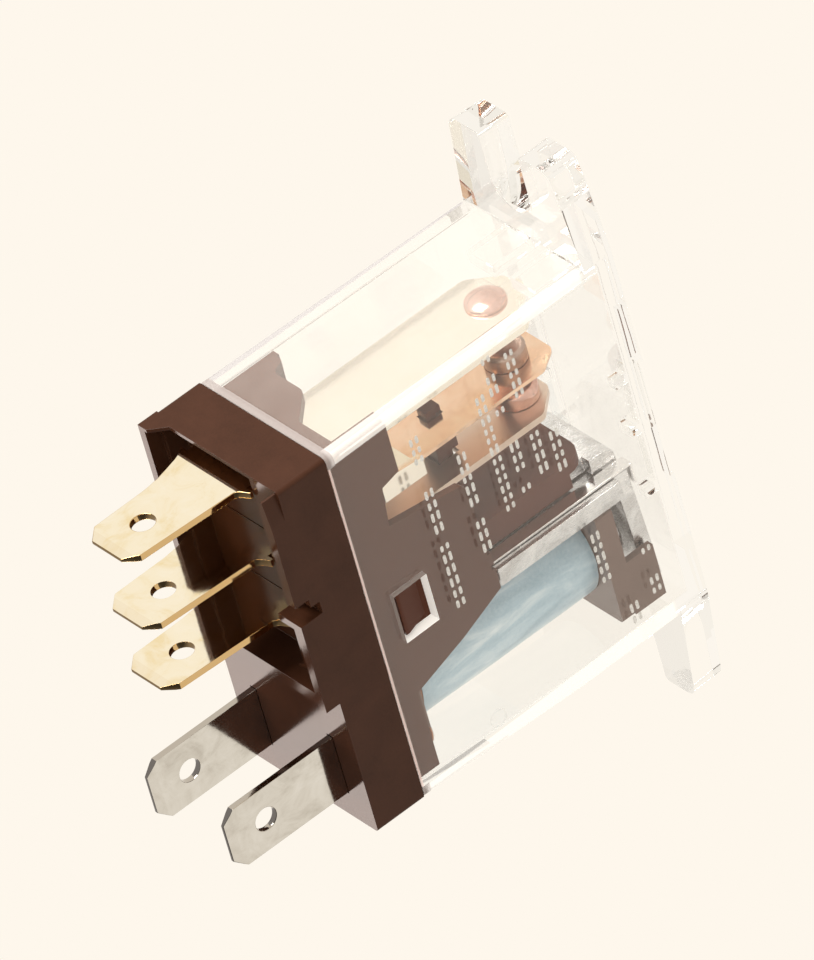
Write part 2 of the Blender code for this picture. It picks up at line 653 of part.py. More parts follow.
# ---------------------------------------------------------------- moving spring and contacts
def moving_spring():
    half, end_half, root_z, shoulder_z, end_z = 2.8, 1.6, 20.9, 5.6, 3.9
    outline = rounded([
        (-half, root_z), (-half, shoulder_z), (-end_half, end_z),
        (end_half, end_z), (half, shoulder_z), (half, root_z),
    ], [0.5, 0.8, 0.6, 0.6, 0.8, 0.5])
    through = 5, 8
    holes = [
        cylinder((0, CONTACT_Z), CONTACT_HOLE_R, "x", *through, 24),
        box(*through, -0.53, 0.53, NOSE_Z - 0.86, NOSE_Z + 0.50),
    ]
    for y in (-RIVET_Y, RIVET_Y):
        holes.append(cylinder((y, SPRING_ROOT_Z), 0.62, "x", *through, 20))
    return combine(prism(outline, "x", SPRING_X0, SPRING_X1), [], holes)


def button(seat, face, radius):
    """(x, radius) profile of a contact button from its seat to its slightly domed face."""
    sign = 1 if face > seat else -1
    return [(seat, radius), (face - sign * 0.35, radius),
            (face - sign * 0.12, radius * 0.86), (face, radius * 0.5)]


def moving_contact():
    low, high = SPRING_X0 - 0.05, SPRING_X1 + 0.05
    profile = button(low, 5.15, 1.5)[::-1] + [(low, SHANK_R), (high, SHANK_R)]
    return turned(profile + button(high, 8.25, 1.5), (0, CONTACT_Z), "x", 32)


def fixed_contact(leaf_x, face, sign):
    """Button on one side of a leaf, rivet head on the other; sign is the head's X direction."""
    low, high = leaf_x - TAB_T, leaf_x
    button_side, head_side = (low, high) if sign > 0 else (high, low)
    seat = button_side - sign * 0.04
    # (distance beyond the leaf, radius)
    head = [(0.04, SHANK_R), (0.04, 1.45), (0.25, 1.4), (0.5, 1.05), (0.62, 0.5)]
    profile = button(seat, face, 1.6)[::-1] + [(seat, SHANK_R)]
    profile += [(head_side + sign * distance, radius) for distance, radius in head]
    return turned(profile, (0, CONTACT_Z), "x", 32)


def spring_rivet(y):
    # (x, radius)
    profile = [(5.95, 0.5), (6.05, 0.85), (6.40, 0.9), (6.40, 0.5),
               (7.60, 0.5), (7.60, 0.9), (7.92, 0.85), (8.02, 0.5)]
    return turned(profile, (y, SPRING_ROOT_Z), "x", 24)


# ---------------------------------------------------------------- build
for old in list(bpy.data.objects):
    bpy.data.objects.remove(old, do_unlink=True)

# name, colour, roughness
clear = make_material("clear_cover", (0.90, 0.93, 0.94), roughness=0.05, alpha=0.35,
                      transmission=1.0)
base_plastic = make_material("base_plastic", (0.060, 0.026, 0.018), roughness=0.42)
bobbin_plastic = make_material("bobbin_plastic", (0.075, 0.034, 0.026), roughness=0.5)
card_plastic = make_material("card_plastic", (0.070, 0.032, 0.026), roughness=0.5)
coil_tape = make_material("coil_tape", (0.33, 0.53, 0.64), roughness=0.55)
gold = make_metal("gold_plate", (0.90, 0.70, 0.36), roughness=0.16)
tin = make_metal("tin_plate", (0.72, 0.71, 0.67), roughness=0.32)
steel = make_metal("nickel_steel", (0.62, 0.61, 0.59), roughness=0.28)
core_steel = make_metal("core_steel", (0.56, 0.56, 0.56), roughness=0.3)
copper_alloy = make_metal("copper_alloy", (0.85, 0.46, 0.24), roughness=0.3)
spring_steel = make_metal("spring_steel", (0.66, 0.65, 0.62), roughness=0.25)
silver = make_metal("contact_silver", (0.86, 0.82, 0.78), roughness=0.25)
rivet_copper = make_metal("rivet_copper", (0.80, 0.44, 0.32), roughness=0.25)
enamelled = make_metal("enamelled_copper", (0.62, 0.22, 0.08), roughness=0.35)

knife_edge = axis_empty("knife_edge", PIVOT)
spring_root = axis_empty("spring_root", (0.5 * (SPRING_X0 + SPRING_X1), 0.0, SPRING_ROOT_Z))

add_piece("cover", cover(), clear, smooth=35)
add_piece("base", base(), base_plastic)

add_piece("terminal_normally_open", leaf_terminal(TAB_NO_X, LEAF_NO_X, 4.0, 3.0), gold, smooth=30)
closed_leaf = leaf_terminal(TAB_NC_X, LEAF_NC_X, 4.5, 2.8, window=(-0.92, 0.92, 12.2, 13.92))
add_piece("terminal_normally_closed", closed_leaf, gold, smooth=30)
add_piece("terminal_common", common_terminal(), gold, smooth=30)

for place_name, side in (("front", -1), ("rear", 1)):
    add_piece(f"coil_terminal_{place_name}", coil_terminal(side), tin, smooth=30)
    add_piece(f"coil_lead_{place_name}", coil_lead(side), enamelled, smooth=60)
    add_piece(f"spring_rivet_{place_name}", spring_rivet(side * RIVET_Y), rivet_copper, smooth=30)

add_piece("bobbin", bobbin(), bobbin_plastic, smooth=35)
add_piece("coil_winding", winding(), enamelled, smooth=40)
add_piece("coil_tape", tape(), coil_tape, smooth=40)
add_piece("core", core(), core_steel, smooth=30)

add_piece("yoke", yoke(), steel, smooth=30)
add_piece("armature", armature(), steel, smooth=20, parent=knife_edge)
add_piece("pusher_card", pusher_card(), card_plastic, smooth=25, parent=knife_edge)
add_piece("hinge_spring", hinge_spring(), spring_steel)
add_piece("hinge_rivet", hinge_rivet(), steel, smooth=30)

add_piece("moving_spring", moving_spring(), copper_alloy, smooth=30, parent=spring_root)
add_piece("moving_contact", moving_contact(), silver, smooth=40, parent=spring_root)
add_piece("fixed_contact_open", fixed_contact(LEAF_NO_X, 9.16, 1), rivet_copper, smooth=40)
add_piece("fixed_contact_closed", fixed_contact(LEAF_NC_X, 5.07, -1), rivet_copper, smooth=40)
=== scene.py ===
"""Relay with a clear cover, standing upside down on a pale floor.

The cover's closed end is down and the terminals point up (+Z). The long side lies
along X: the upright coil is towards -X. The print is on the -Y face, and the camera
looks down from +X, -Y. Shapes and shader positions are in millimetres; the floor,
lights and all meshes handed to Blender are in metres.
"""
import math
import random

import bmesh
import bpy
from mathutils import Matrix, Vector, noise


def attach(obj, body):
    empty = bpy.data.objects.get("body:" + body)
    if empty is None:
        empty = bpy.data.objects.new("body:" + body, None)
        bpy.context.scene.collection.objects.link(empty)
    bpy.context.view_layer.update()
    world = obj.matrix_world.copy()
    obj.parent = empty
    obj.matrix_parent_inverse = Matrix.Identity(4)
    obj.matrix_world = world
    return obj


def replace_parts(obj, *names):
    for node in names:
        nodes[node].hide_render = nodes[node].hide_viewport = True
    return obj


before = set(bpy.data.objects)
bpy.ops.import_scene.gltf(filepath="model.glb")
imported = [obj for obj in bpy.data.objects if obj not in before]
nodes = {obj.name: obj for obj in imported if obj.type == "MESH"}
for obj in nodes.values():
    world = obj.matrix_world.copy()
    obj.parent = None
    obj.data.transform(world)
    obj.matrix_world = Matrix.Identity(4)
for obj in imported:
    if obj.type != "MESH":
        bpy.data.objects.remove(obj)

MM = 0.001
TAU = 2 * math.pi
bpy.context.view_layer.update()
scene = bpy.context.scene
random.seed(7)

# ---------------------------------------------------------------- dimensions, mm
COVER_SIDE = ((0.6, 6.13), (11.0, 6.25), (24.66, 6.50))  # z, half width of the cover in y
UNDER_COVER_Z = 24.5  # parts below this height are seen through the cover

COIL_X = -8.6
WIND_R, WIND_BORE_R = 3.85, 2.42
WIND_Z = (6.45, 21.95)
TAPE_R, TAPE_GAP = 3.965, 0.03  # outer radius, gap to the winding
TAPE_Z = (6.52, 21.50)

# Zones of the cover: frosted bands with painted light at the rims and corners, a painted haze on
# the end face and a painted glow in the opening
END_RIM_X, END_RIM_Z = 13.55, 24.06
SIDE_RIM_Z = 24.50
CORNER_X, CORNER_Y, CORNER_Z = 13.62, 5.62, (2.7, 24.3)
OPENING_X, OPENING_Z = (-2.68, 1.38), (19.82, 22.78)
LIT_WALL_X, LIT_WALL_Z = -2.0, 20.4  # the -X wall and the lower wall of the opening
END_FACE_X, END_FACE_Z = 14.2, (2.6, 24.0)
OUTER_END_X = 14.95

VIEW = (-0.6246, 0.6807, -0.3827)  # direction the camera looks in

# ---------------------------------------------------------------- render settings
scene.view_settings.view_transform = "Standard"
scene.view_settings.look = "None"
scene.view_settings.exposure = 0.0
scene.view_settings.gamma = 1.0
scene.cycles.max_bounces = 24
scene.cycles.transmission_bounces = 24
scene.cycles.glossy_bounces = 16
scene.cycles.diffuse_bounces = 3
scene.cycles.transparent_max_bounces = 48


# ---------------------------------------------------------------- shader graph
class Graph:
    """Node tree of a material or world, with short ways to add nodes."""

    def __init__(self, owner, output):
        owner.use_nodes = True
        self.tree = owner.node_tree
        self.tree.nodes.clear()
        self.out = self.add(output)

    def feed(self, socket, value):
        """Links a node output to the socket, or sets its number, vector or colour."""
        if isinstance(value, bpy.types.NodeSocket):
            self.tree.links.new(value, socket)
        else:
            socket.default_value = (*value, 1) if socket.type == "RGBA" else value

    def add(self, kind, **inputs):
        node = self.tree.nodes.new(kind)
        for name, value in inputs.items():
            self.feed(node.inputs[name.replace("_", " ")], value)
        return node

    def surface(self, node):
        self.feed(self.out.inputs["Surface"], node.outputs[0])

    def principled(self, **inputs):
        return self.add("ShaderNodeBsdfPrincipled", **inputs)

    def mix_shader(self, factor, first, second):
        node = self.add("ShaderNodeMixShader")
        for socket, value in zip(node.inputs, (factor, first.outputs[0], second.outputs[0])):
            self.feed(socket, value)
        return node

    def coords(self, stretch=(1, 1, 1)):
        """Object coordinates in millimetres, multiplied by stretch."""
        source = self.add("ShaderNodeTexCoord").outputs["Object"]
        scale = [s * 1000.0 for s in stretch]
        return self.add("ShaderNodeMapping", Scale=scale, Vector=source).outputs["Vector"]

    def split(self, vector):
        return self.add("ShaderNodeSeparateXYZ", Vector=vector).outputs[:3]

    def position(self):
        return self.split(self.coords())

    def normal(self):
        return self.split(self.add("ShaderNodeNewGeometry").outputs["True Normal"])

    def noise(self, vector, scale=1.0, detail=4.0, rough=0.6, distort=0.0):
        return self.add("ShaderNodeTexNoise", Scale=scale, Detail=detail, Roughness=rough,
                        Distortion=distort, Vector=vector).outputs["Fac"]

    def ramp(self, factor, stops):
        """Colours blended along factor; each stop is (position, colour)."""
        node = self.add("ShaderNodeValToRGB", Fac=factor)
        elements = node.color_ramp.elements
        while len(elements) < len(stops):
            elements.new(0.5)
        for element, (place, colour) in zip(elements, stops):
            element.position = place
            element.color = (*colour, 1)
        return node.outputs["Color"]

    def remap(self, value, src, to=(0.0, 1.0)):
        return self.add("ShaderNodeMapRange", From_Min=src[0], From_Max=src[1],
                        To_Min=to[0], To_Max=to[1], Value=value).outputs["Result"]

    def above(self, value, limit, soft=0.04):
        """1 where value is over the limit, fading to 0 within soft of it."""
        return self.remap(value, src=(limit - soft, limit + soft))

    def below(self, value, limit, soft=0.04):
        return self.remap(value, src=(limit - soft, limit + soft), to=(1.0, 0.0))

    def math(self, operation, *values):
        node = self.add("ShaderNodeMath")
        node.operation = operation
        for socket, value in zip(node.inputs, values):
            self.feed(socket, value)
        return node.outputs[0]

    def fold(self, operation, first, *rest):
        for value in rest:
            first = self.math(operation, first, value)
        return first

    def product(self, *values):
        return self.fold("MULTIPLY", *values)

    def highest(self, *values):
        return self.fold("MAXIMUM", *values)

    def mix(self, factor, first, second):
        """Colour mix, from first at factor 0 to second at factor 1."""
        node = self.add("ShaderNodeMix")
        node.data_type = "RGBA"
        # sockets 6 and 7 are the colour inputs
        for index, value in ((0, factor), (6, first), (7, second)):
            self.feed(node.inputs[index], value)
        return node.outputs[2]

    def bump(self, height, depth, strength, **normal):
        return self.add("ShaderNodeBump", Strength=strength, Distance=depth * MM,
                        Height=height, **normal).outputs["Normal"]


def new_material(name):
    material = bpy.data.materials.new(name)
    return material, Graph(material, "ShaderNodeOutputMaterial")


# ---------------------------------------------------------------- materials
def cover_frost_and_painted_light_masks(g):
    """Masks of the cover's frosted zones, which carry painted light: painted bands at the rims and
    corners, a painted haze on the end face and a painted glow at the near corner and the opening.
    A dict of single zones and the summed mask.
    """
    x, y, z = g.position()
    nx, ny, nz = g.normal()
    abs_x = g.math("ABSOLUTE", x)
    abs_y = g.math("ABSOLUTE", y)
    # The rim and corner zones are frosted bands in painted colours: painted highlight and shade
    # lines along the cover's rims and vertical corners.
    end_rim = g.product(g.above(z, END_RIM_Z), g.above(abs_x, END_RIM_X))
    side_rim = g.above(z, SIDE_RIM_Z)
    corner = g.product(g.above(abs_x, CORNER_X, soft=0.05), g.above(abs_y, CORNER_Y, soft=0.05),
                       g.above(z, CORNER_Z[0], soft=0.2), g.below(z, CORNER_Z[1], soft=0.1))
    opening = g.product(g.above(x, OPENING_X[0]), g.below(x, OPENING_X[1]),
                        g.above(z, OPENING_Z[0]), g.below(z, OPENING_Z[1]))
    # Painted light: the opening's -X wall and lower wall are painted as lit and the other walls
    # faintly, as frosting and a painted glow.
    lit_wall = g.highest(g.product(g.above(nx, 0.5), g.below(x, LIT_WALL_X)),
                         g.product(g.above(nz, 0.5), g.below(z, LIT_WALL_Z)))
    walls = g.product(opening, g.below(g.math("ABSOLUTE", ny), 0.5))
    painted_window_light = g.product(walls, g.remap(lit_wall, src=(0, 1), to=(0.16, 0.95)))
    # Painted haze: a faint pale frosting on the outer end face stands in for the reflection of the
    # bright surroundings.
    end_face = g.product(g.above(nx, 0.9), g.above(x, END_FACE_X),
                         g.below(z, END_FACE_Z[1]), g.above(z, END_FACE_Z[0]))
    fine = g.noise(g.coords(), scale=5.0, detail=3)
    cloud = g.noise(g.coords(), scale=0.25, detail=3, rough=0.55)
    far_corner = g.product(corner, g.above(y, 0.0))
    near_corner = g.product(corner, g.below(y, 0.0))
    # The share sets how strongly each zone shows its frosting and the painted light in its colour.
    share = dict(end_rim=0.85, side_rim=0.75, corner=0.6)  # strength of the frosting
    mask = g.highest(g.product(end_rim, share["end_rim"]),
                     g.product(side_rim, share["side_rim"]),
                     g.product(far_corner, share["corner"]),
                     g.product(near_corner, share["corner"]),
                     painted_window_light,
                     g.product(end_face, g.remap(cloud, src=(0.3, 0.7), to=(0.13, 0.19))))
    mask = g.product(mask, g.remap(fine, src=(0.3, 0.7), to=(0.92, 1.0)))
    zones = dict(end_face=end_face, far_corner=far_corner, side_rim=side_rim, end_rim=end_rim,
                 glow=g.highest(near_corner, painted_window_light), outside=g.above(abs_x, OUTER_END_X))
    return zones, mask


def clear_material():
    """Clear polycarbonate with faint flow lines, frosted at rim, corners and opening; the frosting
    carries painted light: painted bands, a painted haze and a painted glow.
    """
    material, g = new_material("clear_polycarbonate")
    flow = g.noise(g.coords(stretch=(0.10, 0.10, 0.035)), detail=2, rough=0.5, distort=0.5)
    smear = g.noise(g.coords(stretch=(0.35, 0.35, 0.12)))
    glass = g.principled(
        Base_Color=(0.997, 0.997, 0.992), Transmission_Weight=1.0, IOR=1.56,
        Roughness=g.remap(smear, src=(0.5, 0.9), to=(0.0, 0.035)),
        Specular_Tint=(1.0, 0.90, 0.84), Normal=g.bump(flow, depth=0.06, strength=0.3))

    zones, mask = cover_frost_and_painted_light_masks(g)
    # Painted colours of the frosting: a pale painted haze on the end face, a grey painted shade
    # line at the far corner, a pale painted highlight band on the side rim and a grey painted band
    # on the end rim.
    painted_frost_tone = (0.93, 0.915, 0.885)
    for zone, colour in (("end_face", (0.74, 0.70, 0.66)), ("far_corner", (0.40, 0.38, 0.395)),
                         ("side_rim", (0.90, 0.70, 0.66)), ("end_rim", (0.34, 0.30, 0.29))):
        painted_frost_tone = g.mix(zones[zone], painted_frost_tone, colour)
    # Painted glow: the near corner and the opening's walls emit light, though no lamp is there.
    painted_glow_strength = 0.34
    frost_and_painted_light = g.principled(Base_Color=painted_frost_tone, Roughness=0.5, Specular_IOR_Level=0.3,
                         Emission_Color=(1.0, 0.955, 0.89),
                         Emission_Strength=g.product(zones["glow"], painted_glow_strength))
    body = g.mix_shader(mask, glass, frost_and_painted_light)

    # Shadow rays, diffuse rays and long internal paths pass straight through.
    passing = g.add("ShaderNodeBsdfTransparent", Color=(0.97, 0.97, 0.965))
    path = g.add("ShaderNodeLightPath").outputs
    # deepest ray that still sees the plastic: within the cover, at its outer ends
    depth_limit = g.remap(zones["outside"], src=(0.0, 1.0), to=(6.5, 2.5))
    deep = g.math("GREATER_THAN", path["Ray Depth"], depth_limit)
    through = g.highest(path["Is Shadow Ray"], path["Is Diffuse Ray"], deep)
    g.surface(g.mix_shader(through, body, passing))
    return material


def plastic(name, dark, light, rough, grain=0.008, top_spec=0.5, inner=None):
    """Dark moulding with a fine grain, smoother on faces that point up.

    rough is the range on the sides, grain the bump depth, inner a lighter colour painted on the
    part under the cover, as painted light.
    """
    side_spec, top_rough = 0.13, 0.14
    painted_under_cover_share = 0.8
    speck_share = 0.5
    fleck_gain = 1.35  # brightness of the flecks against the light tone
    material, g = new_material(name)
    vector = g.coords()
    big = g.noise(vector, scale=0.30, distort=0.4)
    fine = g.noise(vector, scale=7.0, rough=0.65)
    speck = g.noise(vector, scale=24.0, detail=2, rough=0.5)
    colour = g.ramp(big, [(0.3, dark), (0.7, light)])
    flecks = g.remap(fine, src=(0.35, 0.75), to=(0.0, 0.3))
    colour = g.mix(flecks, colour, [c * fleck_gain for c in light])
    # Painted light: the part under the cover gets a lighter colour.
    if inner:
        low = g.below(g.position()[2], UNDER_COVER_Z, soft=0.1)
        colour = g.mix(g.product(low, painted_under_cover_share), colour, inner)
    upward = g.remap(g.normal()[2], src=(0.15, 0.4))
    side = g.product(g.remap(fine, src=(0.3, 0.75), to=rough), g.math("SUBTRACT", 1.0, upward))
    roughness = g.math("ADD", side, g.product(upward, top_rough))
    specular = g.remap(upward, src=(0.0, 1.0), to=(side_spec, top_spec))
    height = g.math("ADD", fine, g.product(speck, speck_share))
    g.surface(g.principled(Base_Color=colour, Roughness=roughness, IOR=1.5,
                           Specular_IOR_Level=specular,
                           Normal=g.bump(height, depth=grain, strength=0.6)))
    return material


def plated(name, base, tint, stain, rough, streak, wave=0.05,
           inner=None, inner_rough=0.2, painted_edge_shade=None, sheet_axis=0):
    """Metal with rolling marks, a slight waviness (wave is its depth) and faint stains.

    streak stretches the marks, inner a colour painted under the cover (painted light where
    paler, painted shade where darker), inner_rough the roughness added there, edge the
    painted shade on the cut edges above the cover and sheet_axis the axis square to the sheet.
    """
    marks_depth = 0.0012
    marks_share, small_share = 0.6, 0.4  # parts of the roughness variation
    painted_under_cover_share = 0.85
    material, g = new_material(name)
    vector = g.coords()
    marks = g.noise(g.coords(streak), detail=3)
    blotch = g.noise(vector, scale=0.45, detail=5, rough=0.62, distort=0.8)
    small = g.noise(vector, scale=5.0)
    colour = g.ramp(blotch, [(0.32, stain), (0.5, base), (0.72, tint)])
    colour = g.mix(g.remap(marks, src=(0.45, 0.75), to=(0.0, 0.25)), colour, tint)
    wear = g.math("ADD", g.product(marks, marks_share), g.product(small, small_share))
    roughness = g.remap(wear, src=(0.35, 0.7), to=rough)
    # Under the cover the metal gets the painted inner colour: painted light where it is paler,
    # painted shade where it is darker.
    if inner:
        low = g.below(g.position()[2], UNDER_COVER_Z, soft=0.3)
        colour = g.mix(g.product(low, painted_under_cover_share), colour, inner)
        roughness = g.math("ADD", roughness, g.product(low, inner_rough))
    # Painted shade: the cut edges and bevels above the cover get a darker colour.
    if painted_edge_shade:
        flat = g.math("ABSOLUTE", g.normal()[sheet_axis])
        cut = g.product(g.remap(flat, src=(0.93, 0.99), to=(0.9, 0.0)),
                        g.above(g.position()[2], UNDER_COVER_Z, soft=0.3))
        colour = g.mix(cut, colour, painted_edge_shade)
    slow = g.noise(vector, scale=0.28, detail=2, rough=0.5)
    waviness = g.bump(slow, depth=wave, strength=0.5)
    normal = g.bump(marks, depth=marks_depth, strength=0.5, Normal=waviness)
    g.surface(g.principled(Base_Color=colour, Metallic=1.0, Roughness=roughness, Normal=normal))
    return material


def tape_material():
    """Blue tape with pale streaks, painted highlights along its length, and a fine weave."""
    material, g = new_material("blue_tape")
    streak = g.noise(g.coords(stretch=(0.55, 0.55, 0.16)), rough=0.55, distort=0.7)
    weave = g.noise(g.coords(stretch=(5, 5, 5)), detail=3)
    # The palest streak colour is a painted highlight running along the coil.
    colour = g.ramp(streak, [(0.30, (0.23, 0.38, 0.48)), (0.50, (0.38, 0.54, 0.64)),
                             (0.72, (0.72, 0.82, 0.87))])
    threads = g.remap(weave, src=(0.4, 0.7), to=(0.0, 0.2))
    colour = g.mix(threads, colour, (0.74, 0.84, 0.87))
    g.surface(g.principled(Base_Color=colour, Coat_Weight=0.4, Coat_Roughness=0.18,
                           Roughness=g.remap(weave, src=(0.3, 0.7), to=(0.28, 0.42)),
                           Normal=g.bump(streak, depth=0.08, strength=0.6)))
    return material


def wire_material():
    material, g = new_material("enamelled_wire")
    grain = g.noise(g.coords(), scale=6.0, detail=3)
    colour = g.ramp(grain, [(0.35, (0.30, 0.10, 0.045)), (0.65, (0.52, 0.22, 0.10))])
    g.surface(g.principled(Base_Color=colour, Metallic=0.9, Coat_Weight=0.6, Coat_Roughness=0.1,
                           Roughness=g.remap(grain, src=(0.3, 0.7), to=(0.25, 0.4))))
    return material


def ink_material():
    material, g = new_material("pale_ink")
    grain = g.noise(g.coords(), scale=8.0, detail=3)
    colour = g.ramp(grain, [(0.3, (0.62, 0.60, 0.57)), (0.7, (0.86, 0.85, 0.82))])
    g.surface(g.principled(Base_Color=colour, Roughness=0.55,
                           Alpha=g.remap(grain, src=(0.35, 0.75), to=(0.75, 0.95))))
    return material


clear = clear_material()
# inner: a lighter, redder colour painted on the base under the cover, painted light.
brown = plastic("brown_moulding", dark=(0.037, 0.0130, 0.0060), light=(0.052, 0.019, 0.0095),
                rough=(0.30, 0.42), grain=0.003, top_spec=0.45, inner=(0.078, 0.021, 0.009))
brown_bobbin = plastic("brown_bobbin", dark=(0.140, 0.092, 0.074), light=(0.172, 0.112, 0.092),
                       rough=(0.4, 0.55))
brown_card = plastic("brown_card", dark=(0.078, 0.016, 0.007), light=(0.094, 0.023, 0.011),
                     rough=(0.4, 0.55))

# Stretches of the rolling marks: three with long marks up Z, one even
LINES_LONG, LINES_MID, LINES_SHORT = (14, 14, 0.6), (12, 12, 0.6), (12, 12, 0.8)
EVEN = (1.5, 1.5, 1.5)
# edge: painted shade on the cut edges of the gold terminals.
GOLD = dict(base=(0.955, 0.880, 0.700), tint=(0.97, 0.915, 0.775), stain=(0.90, 0.77, 0.50),
            rough=(0.03, 0.09), streak=LINES_LONG, wave=0.03, painted_edge_shade=(0.62, 0.40, 0.16))
# inner: the gold terminals are painted paler under the cover, painted light.
gold = plated("gold_plating", inner=(0.955, 0.905, 0.815), inner_rough=0.08, **GOLD)
# Painted shade: a copy of the gold whose part under the cover is painted a darker tan, for the
# normally-closed leaf.
gold_shaded_leaf = plated("gold_plating_shaded_leaf", inner=(0.66, 0.50, 0.41), inner_rough=0.25, **GOLD)
# edge: painted shade on the cut edges of the tin terminals.
tin = plated("tin_plating", base=(0.66, 0.635, 0.585), tint=(0.74, 0.72, 0.68),
             stain=(0.54, 0.51, 0.46), rough=(0.05, 0.13), streak=LINES_LONG, wave=0.04,
             painted_edge_shade=(0.50, 0.46, 0.41), sheet_axis=1)
iron = plated("nickel_on_iron", base=(0.70, 0.70, 0.705), tint=(0.86, 0.855, 0.85),
              stain=(0.52, 0.51, 0.505), rough=(0.20, 0.34), streak=LINES_SHORT)
steel = plated("spring_steel", base=(0.84, 0.83, 0.82), tint=(0.93, 0.92, 0.91),
               stain=(0.72, 0.70, 0.68), rough=(0.10, 0.2), streak=LINES_SHORT)
copper = plated("copper_alloy_strip", base=(0.87, 0.585, 0.40), tint=(0.90, 0.67, 0.50),
                stain=(0.80, 0.50, 0.32), rough=(0.10, 0.2), streak=LINES_MID)
rivet = plated("rivet_copper", base=(0.74, 0.47, 0.39), tint=(0.84, 0.60, 0.52),
               stain=(0.55, 0.30, 0.23), rough=(0.14, 0.24), streak=EVEN, wave=0.02)
# Painted shade: the moving contact is coloured dark brown for the shade around it.
silver_in_painted_shade = plated("contact_silver", base=(0.46, 0.33, 0.27), tint=(0.56, 0.42, 0.35),
                stain=(0.28, 0.17, 0.13), rough=(0.3, 0.45), streak=EVEN, wave=0.02)
tape = tape_material()
wire = wire_material()
ink = ink_material()

# ---------------------------------------------------------------- CAD pieces
# piece, material, bevel width in mm (0 for none), bevel segments, merge flat faces
LOOK = (
    ("cover", clear, 0.12, 3, True),
    ("base", brown, 0.10, 2, True),
    ("bobbin", brown_bobbin, 0.08, 2, True),
    ("pusher_card", brown_card, 0.08, 2, True),
    ("terminal_normally_open", gold, 0.05, 2, True),
    ("terminal_common", gold, 0.05, 2, True),
    ("terminal_normally_closed", gold_shaded_leaf, 0.05, 2, True),
    ("coil_terminal_front", tin, 0.05, 2, True),
    ("coil_terminal_rear", tin, 0.05, 2, True),
    ("yoke", iron, 0.08, 2, True),
    ("armature", iron, 0.08, 2, True),
    ("core", iron, 0.05, 2, False),
    ("hinge_spring", steel, 0.03, 1, True),
    ("hinge_rivet", iron, 0.03, 2, False),
    ("moving_spring", copper, 0.04, 2, True),
    ("moving_contact", silver_in_painted_shade, 0.03, 2, False),
    ("fixed_contact_open", rivet, 0.03, 2, False),
    ("fixed_contact_closed", rivet, 0.03, 2, False),
    ("spring_rivet_front", rivet, 0.03, 2, False),
    ("spring_rivet_rear", rivet, 0.03, 2, False),
    ("coil_winding", wire, 0, 0, False),
    ("coil_tape", tape, 0, 0, False),
    ("coil_lead_front", wire, 0, 0, False),
    ("coil_lead_rear", wire, 0, 0, False),
)


def dress(piece, material, width, segments, flatten):
    """Gives a CAD piece its material, clean faces and small bevels."""
    piece.data.materials.clear()
    piece.data.materials.append(material)
    weld = piece.modifiers.new("weld", "WELD")
    weld.merge_threshold = 2e-6
    if flatten:
        flat = piece.modifiers.new("flat", "DECIMATE")
        flat.decimate_type = "DISSOLVE"
        flat.angle_limit = math.radians(0.4)
    if width:
        bevel = piece.modifiers.new("bevel", "BEVEL")
        bevel.width = width * MM
        bevel.segments = segments
        bevel.limit_method = "ANGLE"
        bevel.angle_limit = math.radians(32)
        bevel.harden_normals = False
        bevel.use_clamp_overlap = True
    piece.data.shade_smooth()
    normals = piece.modifiers.new("normals", "WEIGHTED_NORMAL")
    normals.keep_sharp = True
    normals.weight = 90


for name, *look in LOOK:
    dress(nodes[name], *look)


# ---------------------------------------------------------------- pieces made here
def add_object(name, data):
    thing = bpy.data.objects.new(name, data)
    scene.collection.objects.link(thing)
    return thing


def finish_mesh(name, bm):
    mesh = bpy.data.meshes.new(name)
    bm.to_mesh(mesh)
    bm.free()
    return mesh


def housing_piece(name, bm, material, sharp):
    """Object that rides on the housing; edges over sharp degrees stay sharp."""
    bmesh.ops.recalc_face_normals(bm, faces=bm.faces[:])
    mesh = finish_mesh(name, bm)
    mesh.materials.append(material)
    mesh.shade_smooth()
    mesh.set_sharp_from_angle(angle=math.radians(sharp))
    piece = add_object(name, mesh)
    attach(piece, "housing")
    return piece


def skin(rings):
    """Closed skin through rings of points; the last ring meets the first."""
    bm = bmesh.new()
    verts = [[bm.verts.new(Vector(point) * MM) for point in ring] for ring in rings]
    for i, ring in enumerate(verts):
        after = verts[(i + 1) % len(verts)]
        for j in range(len(ring)):
            k = (j + 1) % len(ring)
            bm.faces.new((ring[j], ring[k], after[k], after[j]))
    return bm


def coil_point(radius, angle, z):
    return (COIL_X + radius * math.cos(angle), radius * math.sin(angle), z)


def make_winding():
    """Close turns of wire: a ridged skin, one ridge for each turn."""
    pitch, segments, groove = 0.31, 72, 0.055
    ridge = ((0.0, -groove), (0.25, -0.012), (0.5, 0.0), (0.75, -0.012))  # part of turn, radius
    bottom, top = WIND_Z
    profile = [(WIND_R + rise, bottom + pitch * (turn + part))
               for turn in range(round((top - bottom) / pitch)) for part, rise in ridge]
    profile += [(WIND_R - groove, top), (WIND_BORE_R, top), (WIND_BORE_R, bottom)]
    bm = skin([[coil_point(radius, TAU * j / segments, z) for j in range(segments)]
               for radius, z in profile])
    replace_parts(housing_piece("winding_turns", bm, wire, sharp=60), "coil_winding")


